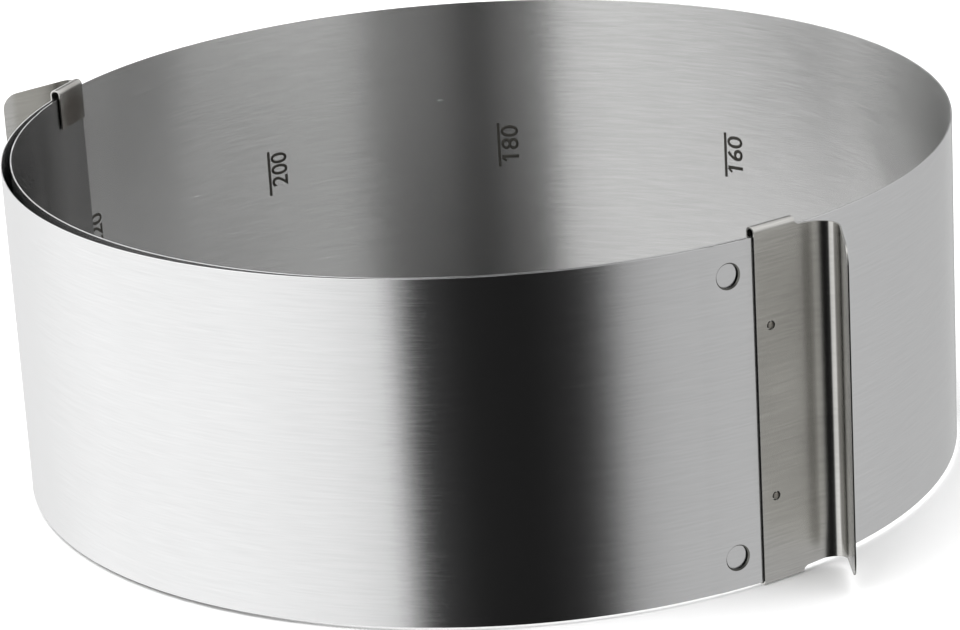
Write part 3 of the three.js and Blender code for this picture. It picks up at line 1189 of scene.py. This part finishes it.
marks = [scale_mark(diameter) for diameter in DIAMETERS]
print("laid", len(marks), "marks on the strip")

# %% [markdown]
# The ring stands on a plain pale floor. In the steel it would show as one bright blank, so the floor is
# hidden from glossy rays, and the steel sees only the card and the soft boxes that follow.

# %% Floor
FLOOR_SIZE = 8
MOTTLE_SCALE = 3.0
clear_selection()
bpy.ops.mesh.primitive_plane_add(size=FLOOR_SIZE)
floor = bpy.context.object
floor.name = "floor"
floor_finish, nodes = new_finish("floor_finish")
place = nodes.add("ShaderNodeTexCoord", output="Object")
mottle = noise(nodes, place, MOTTLE_SCALE, 2.0)
tone = mix_colours(nodes, mottle, grey(0.90), grey(0.92))
surface = nodes.add("ShaderNodeBsdfPrincipled", inputs={"Base Color": tone, "Roughness": 0.9})
nodes.add("ShaderNodeOutputMaterial", inputs={"Surface": surface})
floor.data.materials.append(floor_finish)
floor.visible_glossy = False
floor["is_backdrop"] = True
print("floor laid at height", floor.location.z)

# %% [markdown]
# Inside the ring the steel looks down at the table, which is darker than the soft boxes. A dim card on the
# floor gives it that. Only glossy rays see the card, and it lets part of what is behind it through.

# %% A dim card inside the ring
CARD_RADIUS = 108 * MM
CARD_HEIGHT = 0.2 * MM
CARD_GLOW = 0.06
CARD_CLEAR = 0.62
clear_selection()
bpy.ops.mesh.primitive_circle_add(
    vertices=96,
    radius=CARD_RADIUS,
    fill_type="NGON",
    location=(0, 0, CARD_HEIGHT),
)
card = bpy.context.object
card.name = "card"
apply_place(card)
card_finish, nodes = new_finish("card_finish")
glow = nodes.add("ShaderNodeEmission", inputs={"Color": grey(1.0), "Strength": CARD_GLOW})
clear = nodes.add("ShaderNodeBsdfTransparent")
surface = nodes.add("ShaderNodeMixShader", inputs={0: CARD_CLEAR, 1: glow, 2: clear})
nodes.add("ShaderNodeOutputMaterial", inputs={"Surface": surface})
card.data.materials.append(card_finish)
for ray in ("camera", "diffuse", "transmission", "volume_scatter", "shadow"):
    setattr(card, f"visible_{ray}", False)
card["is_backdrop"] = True
print("card laid inside the ring")

# %% [markdown]
# Brushed steel shows its surroundings more than its own colour, so the surroundings are what shapes it:
# bright soft boxes all round, a dark gap behind the camera that gives the dark upright band on the front,
# and a narrower one at the back. Lamps could stand round the ring, but each would need placing and
# shaping. So the boxes are drawn in the world by compass direction, and grow brighter with height. A
# brightness goes into a ramp, which holds nothing over one, so it is divided by the strength that the
# light is then given.

# %% Soft boxes all round
# Each pair is a compass direction, in degrees from east through north, and a brightness.
RIGHT_BOX = [(0, 0.70), (40, 0.65), (60, 0.61), (74, 0.66)]
BACK_GAP = [(79, 0.20), (94, 0.15)]
LEFT_BOX_BACK = [(99, 0.85), (125, 1.08), (150, 1.30), (160, 1.34), (190, 1.34)]
LEFT_BOX_FRONT = [(210, 1.29), (232, 1.16), (241, 1.03), (246.5, 0.90)]
FRONT_GAP = [(249.2, 0.30), (253, 0.05), (264, 0.02), (280, 0.016), (290, 0.03), (296, 0.10)]
RIGHT_BOX_FRONT = [(303, 0.49), (312, 0.62), (325, 0.66), (360, 0.70)]
SOFT_BOXES = RIGHT_BOX + BACK_GAP + LEFT_BOX_BACK + LEFT_BOX_FRONT + FRONT_GAP + RIGHT_BOX_FRONT
STRENGTH = 1.4
RISE_HEIGHT = 0.35
RISE_GAIN = 1.9
TURNS_PER_RADIAN = 0.5 / math.pi
world = bpy.data.worlds.new("studio")
bpy.context.scene.world = world
world.use_nodes = True
nodes = Nodes(world.node_tree)
direction = nodes.add("ShaderNodeTexCoord", output="Generated")
east = nodes.add("ShaderNodeSeparateXYZ", inputs={0: direction}, output="X")
north = nodes.add("ShaderNodeSeparateXYZ", inputs={0: direction}, output="Y")
height = nodes.add("ShaderNodeSeparateXYZ", inputs={0: direction}, output="Z")
rise = nodes.add("ShaderNodeMapRange", inputs={0: height, 1: 0.0, 2: RISE_HEIGHT, 3: 1.0, 4: RISE_GAIN})
compass = nodes.add("ShaderNodeMath", {"operation": "ARCTAN2"}, {0: north, 1: east})
turns = nodes.add("ShaderNodeMath", {"operation": "FRACT"}, {0: compass * TURNS_PER_RADIAN + 1.0})
stops = [(degrees / 360, level / STRENGTH) for degrees, level in SOFT_BOXES]
boxes = nodes.add("ShaderNodeValToRGB", {"stops": stops}, {0: turns})
light = nodes.add("ShaderNodeBackground", inputs={"Color": boxes * rise, "Strength": STRENGTH})
nodes.add("ShaderNodeOutputWorld", inputs={"Surface": light})
print("soft boxes set at", len(SOFT_BOXES), "directions")

# %% [markdown]
# One wide light from above brightens the floor until only a faint shadow is left under the ring. The steel
# doesn't see it, because the soft boxes already say what it reflects. The plain view transform keeps the
# tones as they are.

# %% Top light
TOP_LIGHT_PLACE = (0, 0.2, 2.2)
TOP_LIGHT_SIZE = 3.0
TOP_LIGHT_POWER = 34
bpy.ops.object.light_add(type="AREA", location=TOP_LIGHT_PLACE)
top_light = bpy.context.object
top_light.name = "top_light"
top_light.data.shape = "DISK"
top_light.data.size = TOP_LIGHT_SIZE
top_light.data.energy = TOP_LIGHT_POWER
top_light.visible_glossy = False
bpy.context.scene.view_settings.view_transform = "Standard"
print("top light gives", top_light.data.energy, "watts")

# %% [markdown]
# The camera stands where the photograph was taken from, found by fitting the ring's two rims and its
# scale. The same fit gave the focal length, in pixels of the photograph's width.

# %% Camera
CAMERA_PLACE = Vector((1.2002, -850.0113, 332.6821)) * MM
CAMERA_RIGHT = Vector((0.998239, -0.019778, -0.055929))
CAMERA_UP = Vector((0.059323, 0.332805, 0.941128))
FOCAL_PIXELS = 3793.6
IMAGE_WIDTH = 960
SENSOR_WIDTH = 36.0
camera_data = bpy.data.cameras.new("camera")
camera_data.sensor_width = SENSOR_WIDTH
camera_data.lens = FOCAL_PIXELS * SENSOR_WIDTH / IMAGE_WIDTH
camera = bpy.data.objects.new("camera", camera_data)
bpy.context.scene.collection.objects.link(camera)
turned = Matrix((CAMERA_RIGHT, CAMERA_UP, CAMERA_RIGHT.cross(CAMERA_UP))).transposed().to_4x4()
turned.translation = CAMERA_PLACE
camera.matrix_world = turned
bpy.context.scene.camera = camera
print("camera lens", round(camera_data.lens, 1), "mm")

# %% [markdown]
# The finished pieces must fill the same space as the CAD model, so this cell prints the box that they fill.

# %% Measure the finished pieces
low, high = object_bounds()
print("visual box in millimetres:", in_millimetres(low, high))
